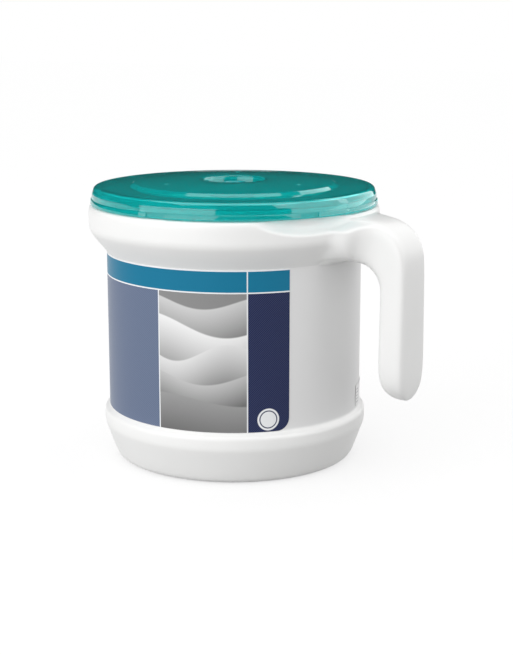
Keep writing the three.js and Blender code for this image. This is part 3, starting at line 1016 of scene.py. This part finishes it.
@dataclass
class Lid:
    """The push-on lid: skirt, broken edge bead, ring, raised disc and central cup."""

    edge_z: float = 201.5
    edge_r: float = 112.6
    edge_height: float = 4.4
    skirt_r: float = 111.4
    skirt_top_r: float = 109.6
    inner_r: float = 109.2
    ring_z: float = 214.7
    step_r: float = 82.0
    step_rise: float = 2.6
    step_run: float = 3.6
    dome_rise: float = 2.0
    cup_r: float = 24.0
    cup_depth: float = 9.2
    cup_draft: float = 1.4
    hole_r: float = 16.4
    wall: float = 2.0
    plug_r: float = 104.6
    plug_height: float = 5.0
    beads: int = 6
    bead_draft: float = 0.6
    bead_sink: float = 0.4
    bead_round: float = 0.7
    bead_cuts: int = 28
    gap_angle: float = -28.0
    gap_degrees: float = 7.5
    pips: int = 3
    pip_ring_r: float = 58.0
    sides: int = 192

    def dome_z(self, r: float) -> float:
        """Height of the disc's upper face at a radius."""
        edge = self.step_r - self.step_run
        share = (edge - r) / (edge - self.cup_r)
        return self.ring_z + self.step_rise + self.dome_rise * math.sin(share * math.pi / 2)

    def profile(self) -> list[Ring]:
        """Rings round the lid's section, from the edge over the top and back underneath."""
        w = self.wall
        disc_z = self.ring_z + self.step_rise
        cup_z = disc_z + self.dome_rise
        floor_z = cup_z - self.cup_depth
        floor_r = self.cup_r - self.cup_draft
        rim = self.edge_z + self.edge_height
        under = self.ring_z - w
        dome = [(r, self.dome_z(r), 0.0) for r in (66.0, 51.0, 38.0)]
        dome_under = [(r, z - w, 0.0) for r, z, _ in reversed(dome)]
        corners: list[Corner] = [
            (self.inner_r, self.edge_z, 0.2),
            (self.skirt_r, self.edge_z, 0.4),
            (self.skirt_r, rim, 0.6),
            (self.skirt_r - 0.3, self.ring_z - 4.6, 2.0),
            (self.skirt_top_r - 0.4, self.ring_z, 4.4),
            (self.step_r, self.ring_z, 1.6),
            (self.step_r - self.step_run, disc_z, 1.8),
            *dome,
            (self.cup_r, cup_z, 1.6),
            (floor_r, floor_z, 1.6),
            (self.hole_r, floor_z, 0.3),
            (self.hole_r, floor_z - w, 0.3),
            (floor_r + 1.2, floor_z - w, 1.6),
            (self.cup_r + w, cup_z - w, 1.0),
            *dome_under,
            (self.step_r - self.step_run - 0.8, disc_z - w, 1.6),
            (self.step_r - 0.8, under, 1.6),
            (self.plug_r - w, under, 0.6),
            (self.plug_r - w, under - self.plug_height, 0.5),
            (self.plug_r, under - self.plug_height, 0.5),
            (self.plug_r, under, 0.6),
            (self.skirt_top_r - w, under, 3.0),
            (self.inner_r, rim, 0.4),
        ]
        return fillet_profile(corners, 7, closed=True)

    def bead(self, start: float, end: float) -> bpy.types.Object:
        """One stretch of the edge bead, a bar with rounded ends bent round the skirt.

        Args:
            start: angle where it starts.
            end: angle where it ends.

        Returns:
            The closed stretch.
        """
        inner = self.skirt_r - self.bead_sink
        width = self.edge_r - inner
        length = math.radians(end - start) * self.edge_r
        bar = unit_cube()
        bar.data.transform(Matrix.Diagonal((width, length, self.edge_height, 1)))
        soften(bar, self.bead_round, 3)
        made = bmesh.new()
        made.from_mesh(bar.data)
        for i in range(1, self.bead_cuts):
            place = (0, length * (i / self.bead_cuts - 0.5), 0)
            everything = [*made.verts, *made.edges, *made.faces]
            bmesh.ops.bisect_plane(made, geom=everything, plane_co=place, plane_no=(0, 1, 0))
        for vertex in made.verts:
            lean = self.bead_draft * (vertex.co.z / self.edge_height + 0.5)
            r = inner + width / 2 + vertex.co.x - lean
            a = math.radians((start + end) / 2) + vertex.co.y / self.edge_r
            z = self.edge_z + self.edge_height / 2 + vertex.co.z
            vertex.co = Vector((r * math.cos(a), r * math.sin(a), z)) * MM
        made.to_mesh(bar.data)
        made.free()
        return bar

    def pip(self, angle: float) -> bpy.types.Object:
        """One low pip on the disc, at an angle in radians."""
        spot = Vector((self.pip_ring_r, 0, self.dome_z(self.pip_ring_r) - 0.4)) * MM
        spot.rotate(Matrix.Rotation(angle, 3, "Z"))
        clear_selection()
        bpy.ops.mesh.primitive_uv_sphere_add(
            segments=24, ring_count=12, radius=2 * MM, location=spot, scale=(1, 1, 0.5)
        )
        pip = active()
        place_in_mesh(pip)
        return pip

    def build(self, finish: bpy.types.Material) -> bpy.types.Object:
        """Models and dresses the lid.

        Args:
            finish: the lid's material.

        Returns:
            The finished lid.
        """
        lid = turned("clear_lid", self.profile(), self.sides, True)
        point_outwards(lid)
        pitch = 360 / self.beads
        for i in range(self.beads):
            first = self.gap_angle + self.gap_degrees / 2 + pitch * i
            combine(lid, self.bead(first, first + pitch - self.gap_degrees), "UNION")
        for i in range(self.pips):
            combine(lid, self.pip(2 * math.pi / self.pips * i), "UNION")
        shade(lid, 35)
        lid.data.materials.append(finish)
        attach(lid, Body.LID.value)
        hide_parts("lid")
        return lid


# Labels


@dataclass
class Film:
    """A thin film bent round the wall."""

    name: str
    node: str
    start: float
    end: float
    low_z: float
    high_z: float
    corner_r: float
    inner_r: float = 100.1
    thickness: float = 0.2

    def build(self, finish: bpy.types.Material, slot: Slot) -> bpy.types.Object:
        """Models and dresses the film.

        Args:
            finish: the film's material.
            slot: the record's slot that it is taken from; not used.

        Returns:
            The finished film.
        """
        radius = self.inner_r + self.thickness / 2
        length = math.radians(self.end - self.start) * radius
        tall = self.high_z - self.low_z
        clear_selection()
        bpy.ops.mesh.primitive_plane_add(
            size=1, location=(0, 0, (self.low_z + tall / 2) * MM), rotation=(math.pi / 2, 0, 0)
        )
        film = active()
        film.name = self.name
        film.scale = (length * MM, tall * MM, 1)
        place_in_mesh(film)
        edit_mode()
        bpy.ops.mesh.select_mode(type="VERT")
        bpy.ops.mesh.select_all(action="DESELECT")
        object_mode()
        for vertex in film.data.vertices:
            vertex.select = vertex.co.z < (self.low_z + tall / 2) * MM
        edit_mode()
        bpy.ops.mesh.bevel(
            affect="VERTICES", offset=self.corner_r * MM, offset_type="OFFSET", segments=10
        )
        cuts = math.ceil((self.end - self.start) / 2.0)
        for i in range(1, cuts):
            bpy.ops.mesh.select_all(action="SELECT")
            x = (i / cuts - 0.5) * length * MM
            bpy.ops.mesh.bisect(plane_co=(x, 0, 0), plane_no=(1, 0, 0))
        object_mode()
        wall = film.modifiers.new("wall", "SOLIDIFY")
        wall.thickness = self.thickness * MM
        wall.offset = 0
        apply_modifier(film, wall)
        middle = math.radians((self.start + self.end) / 2)
        for vertex in film.data.vertices:
            turn = middle + vertex.co.x / MM / radius
            r = radius - vertex.co.y / MM
            vertex.co = Vector((r * math.cos(turn) * MM, r * math.sin(turn) * MM, vertex.co.z))
        point_outwards(film)
        shade(film, 30)
        film.data.materials.append(finish)
        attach(film, Body.BODY.value)
        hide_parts(self.node)
        return film


# Nozzle


@dataclass
class Nozzle:
    """The turning nozzle in the lid's cup: flange, mouth, ribs and hub."""

    hub_r: float = 16.1
    groove_r: float = 14.9
    hub_low_z: float = 203.7
    groove: tuple[float, float] = (205.5, 207.8)
    flange_z: float = 210.4
    flange_top_z: float = 212.2
    flange_r: float = 19.5
    mouth_r: float = 9.6
    mouth_z: float = 216.9
    throat_r: float = 6.5
    funnel_r: float = 13.4
    ribs: int = 4
    rib_width: float = 1.6
    sides: int = 96

    def profile(self) -> list[Ring]:
        """Rings round the nozzle's section."""
        return fillet_profile(
            [
                (self.funnel_r, self.hub_low_z, 0.3),
                (self.hub_r, self.hub_low_z, 0.5),
                (self.hub_r, self.groove[0], 0.15),
                (self.groove_r, self.groove[0], 0.15),
                (self.groove_r, self.groove[1], 0.15),
                (self.hub_r, self.groove[1], 0.15),
                (self.hub_r, self.flange_z, 0.2),
                (self.flange_r, self.flange_z, 0.3),
                (self.flange_r, self.flange_top_z, 0.8),
                (self.mouth_r + 2.6, self.flange_top_z, 2.0),
                (self.mouth_r, self.mouth_z, 1.6),
                (self.throat_r, self.mouth_z, 1.4),
                (self.throat_r, self.flange_top_z, 2.0),
            ],
            4,
            closed=True,
        )

    def rib(self, angle: float) -> bpy.types.Object:
        """One rib, from the flange up to the mouth."""
        blade = unit_cube()
        inner = self.mouth_r + 0.2
        outer = self.flange_r - 1.6
        for vertex in blade.data.vertices:
            out = vertex.co.x > 0
            up = vertex.co.z > 0
            top = self.flange_top_z + (0.4 if out else 2.6)
            vertex.co.x = outer if out else inner
            vertex.co.y *= self.rib_width
            vertex.co.z = top if up else self.flange_top_z - 0.5
            vertex.co *= MM
        soften(blade, 0.25 * MM, 2)
        blade.data.transform(Matrix.Rotation(math.radians(angle), 4, "Z"))
        return blade

    def build(self, finish: bpy.types.Material) -> bpy.types.Object:
        """Models and dresses the nozzle.

        Args:
            finish: the nozzle's material.

        Returns:
            The finished nozzle.
        """
        nozzle = turned("turning_nozzle", self.profile(), self.sides, True)
        point_outwards(nozzle)
        for i in range(self.ribs):
            combine(nozzle, self.rib(360 / self.ribs * i), "UNION")
        shade(nozzle, 40)
        nozzle.data.materials.append(finish)
        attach(nozzle, Body.NOZZLE.value)
        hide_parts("nozzle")
        return nozzle


# Paper


@dataclass
class PaperRoll:
    """The centre-feed roll: wound tissue with soft ends, and its inner end drawn up."""

    radius: float = 90.0
    core_r: float = 30.0
    low_z: float = 4.7
    top_z: float = 198.7
    turns: int = 24
    turn_depth: float = 1.0
    tail_r: float = 3.6
    tail_top_z: float = 205.5
    tail_drop: float = 28.0
    tail_folds: int = 5
    tail_rings: int = 40
    sides: int = 128

    def profile(self) -> list[Ring]:
        """Rings round the roll's section, with its turns as shallow ridges on both ends."""
        pitch = (self.radius - self.core_r) / self.turns
        bottom: list[Ring] = []
        top: list[Ring] = []
        for i in range(self.turns):
            r = self.core_r + pitch * i
            uneven = 0.5 + 0.5 * math.sin(i * 2.4)
            crest = self.turn_depth * (0.35 + 0.3 * uneven)
            bottom += [(r + 0.1, self.low_z + crest), (r + pitch / 2, self.low_z)]
            top += [(r + 0.1, self.top_z - crest), (r + pitch / 2, self.top_z)]
        edge = [
            (self.radius, self.low_z + 1.4),
            (self.radius, 60.0),
            (self.radius, 140.0),
            (self.radius, self.top_z - 1.4),
        ]
        return bottom + edge + top[::-1]

    def tail_path(self, t: float) -> Vector:
        """A point on the way of the drawn-out end, from the roll's inner wall up to the nozzle."""
        knots = [
            Vector((self.core_r + self.tail_r, 0.0, 0.0)),
            Vector((self.core_r * 0.8, self.core_r * 0.3, 0.17)),
            Vector((self.core_r * 0.35, self.core_r * 0.4, 0.4)),
            Vector((0.0, self.core_r * 0.14, 0.62)),
            Vector((0.0, 0.0, 0.77)),
            Vector((0.0, 0.0, 1.0)),
        ]
        low = self.top_z - self.tail_drop
        for knot in knots:
            knot.z = low + (self.tail_top_z - low) * knot.z
        spot = t * (len(knots) - 1)
        i = min(int(spot), len(knots) - 2)
        u = spot - i
        before, start, end, after = (
            knots[max(i - 1, 0)],
            knots[i],
            knots[i + 1],
            knots[min(i + 2, len(knots) - 1)],
        )
        return 0.5 * (
            2 * start
            + (end - before) * u
            + (2 * before - 5 * start + 4 * end - after) * u**2
            + (3 * start - before - 3 * end + after) * u**3
        )

    def tail(self) -> bpy.types.Object:
        """The gathered end: a folded strip twisted into a cord."""
        piece = start_ring("drawn_tissue", self.tail_r, 0.0, self.tail_folds * 6)
        for i in range(self.tail_rings):
            pull_ring((self.tail_r, i), (self.tail_r, i + 1))
        object_mode()
        for vertex in piece.data.vertices:
            level = round(vertex.co.z / MM)
            t = level / self.tail_rings
            centre = self.tail_path(t)
            ahead = self.tail_path(min(t + 0.01, 1.0)) - self.tail_path(max(t - 0.01, 0.0))
            ahead.normalize()
            side = Vector((0, 1, 0)).cross(ahead).normalized()
            other = ahead.cross(side)
            angle = math.atan2(vertex.co.y, vertex.co.x)
            fold = 0.82 + 0.18 * math.sin(self.tail_folds * angle + 5 * t)
            r = self.tail_r * fold * (0.96 + 0.04 * math.sin(23 * t + 2 * angle))
            spot = centre + side * r * math.cos(angle) + other * r * math.sin(angle)
            vertex.co = spot * MM
        edit_mode()
        select_open_edges()
        bpy.ops.mesh.edge_face_add()
        object_mode()
        return piece

    def build(self, finish: bpy.types.Material) -> bpy.types.Object:
        """Models and dresses the roll.

        Args:
            finish: the tissue's material.

        Returns:
            The finished roll.
        """
        roll = turned("wound_tissue", self.profile(), self.sides, True)
        for vertex in roll.data.vertices:
            angle = math.atan2(vertex.co.y, vertex.co.x)
            r = vertex.co.xy.length / MM
            if vertex.co.z > (self.top_z - 3) * MM:
                vertex.co.z -= 0.25 * MM * (1 + math.sin(3 * angle + r * 0.35))
        tail = self.tail()
        focus(roll)
        tail.select_set(True)
        bpy.ops.object.join()
        point_outwards(roll)
        shade(roll, 60)
        roll.data.materials.append(finish)
        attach(roll, Body.BODY.value)
        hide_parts("paper_roll")
        return roll


# Studio


@dataclass
class Studio:
    """Floor, lamps, world and camera."""

    world_light: float = 0.95
    room_light: float = 0.02
    floor_glow: float = 0.68
    pitch_deg: float = 12.39
    distance: float = 1128.5
    height: float = 348.1
    side: float = 17.44
    focal_px: float = 1444.7
    long_px: int = 655
    sensor_mm: float = 36.0
    handle_azimuth: float = 58.0
    lamp_distance: float = 1.6
    lamp_aim_z: float = 0.11

    def add_camera(self) -> None:
        """Adds the camera at the photograph's viewing angle."""
        data = bpy.data.cameras.new("camera")
        camera = bpy.data.objects.new("camera", data)
        bpy.context.scene.collection.objects.link(camera)
        data.sensor_fit = "VERTICAL"
        data.sensor_width = data.sensor_height = self.sensor_mm
        data.lens = self.focal_px / self.long_px * self.sensor_mm
        turn = math.radians(90 - self.handle_azimuth)
        spot = Vector((self.side, -self.distance, 0)) * MM
        spot.rotate(Matrix.Rotation(turn, 3, "Z"))
        camera.location = (spot.x, spot.y, self.height * MM)
        camera.rotation_mode = "XYZ"
        camera.rotation_euler = (math.radians(90 - self.pitch_deg), 0, turn)
        data.clip_end = 20
        bpy.context.scene.camera = camera

    def add_area(
        self,
        name: str,
        size: tuple[float, float],
        azimuth: float,
        elevation: float,
        power: float,
        lights: bool = True,
    ) -> None:
        """Adds one soft box that faces the object, or a card that only shows in its gloss.

        Args:
            name: name of the lamp.
            size: width and height in metres.
            azimuth: degrees to the right of the camera.
            elevation: degrees over the floor.
            power: watts.
            lights: True for a soft box, False for a card.
        """
        data = bpy.data.lights.new(name, "AREA")
        data.shape = "RECTANGLE"
        data.size, data.size_y = size
        data.energy = power
        lamp = bpy.data.objects.new(name, data)
        lamp.visible_diffuse = lights
        bpy.context.scene.collection.objects.link(lamp)
        a = math.radians(90 - self.handle_azimuth + azimuth)
        e = math.radians(elevation)
        direction = Vector((math.sin(a) * math.cos(e), -math.cos(a) * math.cos(e), math.sin(e)))
        lamp.location = Vector((0, 0, self.lamp_aim_z)) + direction * self.lamp_distance
        lamp.rotation_mode = "QUATERNION"
        lamp.rotation_quaternion = direction.to_track_quat("Z", "Y")

    def add_floor(self) -> None:
        """Adds the floor: white to look at and in gloss, but for the object's shadow on it."""
        clear_selection()
        bpy.ops.mesh.primitive_plane_add(size=14, location=(0, 0, -0.0002))
        floor = active()
        floor.name = "floor"
        recipe = Recipe("white_floor")
        recipe.set(Base_Color=linear("9c9c9c"), Roughness=1.0, Specular_IOR_Level=0.0)
        recipe.set(Emission_Color=WHITE)
        path = recipe.add("ShaderNodeLightPath").outputs
        bare = recipe.add(MATH, SUM, in_0=path["Is Camera Ray"], in_1=path["Is Transmission Ray"])
        seen = recipe.add(MATH, SUM, in_0=bare.outputs[0], in_1=path["Is Glossy Ray"])
        seen.use_clamp = True
        glow = recipe.add(MATH, PRODUCT, in_0=seen.outputs[0], in_1=self.floor_glow).outputs[0]
        recipe.wire(glow, "Emission Strength")
        floor.data.materials.append(recipe.material)

    def add_world(self) -> None:
        """Fills the world with even soft light, and shows it white where it is looked at."""
        world = bpy.data.worlds.new("studio")
        bpy.context.scene.world = world
        world.use_nodes = True
        tree = world.node_tree
        tree.nodes.clear()
        path = add_node(tree, "ShaderNodeLightPath").outputs
        # a gloss sees a dim room, so that the soft boxes stand out in it
        strength = add_node(
            tree,
            "ShaderNodeMapRange",
            Value=path["Is Glossy Ray"],
            To_Min=self.world_light,
            To_Max=self.room_light,
        ).outputs[0]
        looks = (path["Is Camera Ray"], path["Is Transmission Ray"])
        seen = add_node(tree, MATH, {"operation": "MAXIMUM"}, in_0=looks[0], in_1=looks[1])
        light = add_node(tree, "ShaderNodeBackground", Color=WHITE, Strength=strength)
        white = add_node(tree, "ShaderNodeBackground", Color=WHITE, Strength=1.0)
        mix = add_node(
            tree,
            "ShaderNodeMixShader",
            in_0=seen.outputs[0],
            in_1=light.outputs[0],
            in_2=white.outputs[0],
        )
        add_node(tree, "ShaderNodeOutputWorld", Surface=mix.outputs[0])

    def build(self) -> None:
        """Sets up the whole studio."""
        bpy.context.scene.view_settings.view_transform = "Standard"
        self.add_camera()
        self.add_floor()
        self.add_world()
        self.add_area("left_box", (2.0, 0.9), -45, 15, 12)
        self.add_area("near_card", (1.8, 1.6), 72, 26, 19, False)
        self.add_area("far_card", (1.6, 1.6), 124, 26, 16, False)
        self.add_area("ceiling_card", (2.6, 2.0), 0, 78, 26, False)


def dress_node(node: str, finish: bpy.types.Material, degrees: float = 40) -> None:
    """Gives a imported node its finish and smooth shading."""
    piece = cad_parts[node]
    piece.data.materials.clear()
    piece.data.materials.append(finish)
    shade(piece, degrees)


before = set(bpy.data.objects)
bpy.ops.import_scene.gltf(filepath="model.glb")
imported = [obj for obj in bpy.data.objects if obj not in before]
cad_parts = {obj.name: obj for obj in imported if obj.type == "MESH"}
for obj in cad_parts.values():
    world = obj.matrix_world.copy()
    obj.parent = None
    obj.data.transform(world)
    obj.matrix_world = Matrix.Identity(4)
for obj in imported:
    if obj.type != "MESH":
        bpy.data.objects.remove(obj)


def main() -> None:
    """Builds the object and its studio in order."""
    logging.basicConfig(level=logging.INFO, format="%(name)s: %(message)s")
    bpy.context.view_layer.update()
    Studio().build()
    bucket = Bucket().build(BlowMouldedPolyethylene().material())
    lid = Lid().build(ClearTealStyrene().material())
    front = Film("printed_label", "front_label", -160.0, -33.4, 42.2, 164.2, 9.5)
    front.build(PrintedFilm().material(), Slot.PRINT)
    rear = Film("care_label", "rear_label", 14.0, 48.0, 43.2, 60.2, 1.5)
    rear.build(PlainFilm().material(), Slot.PLAIN)
    acetal = TealAcetal().material()
    nozzle = Nozzle().build(acetal)
    dress_node("nozzle_clip", acetal)
    roll = PaperRoll().build(EmbossedTissue().material())
    for piece in (bucket, lid, nozzle, roll):
        log.info("%s: %d faces", piece.name, len(piece.data.polygons))


if __name__ == "__main__":
    main()
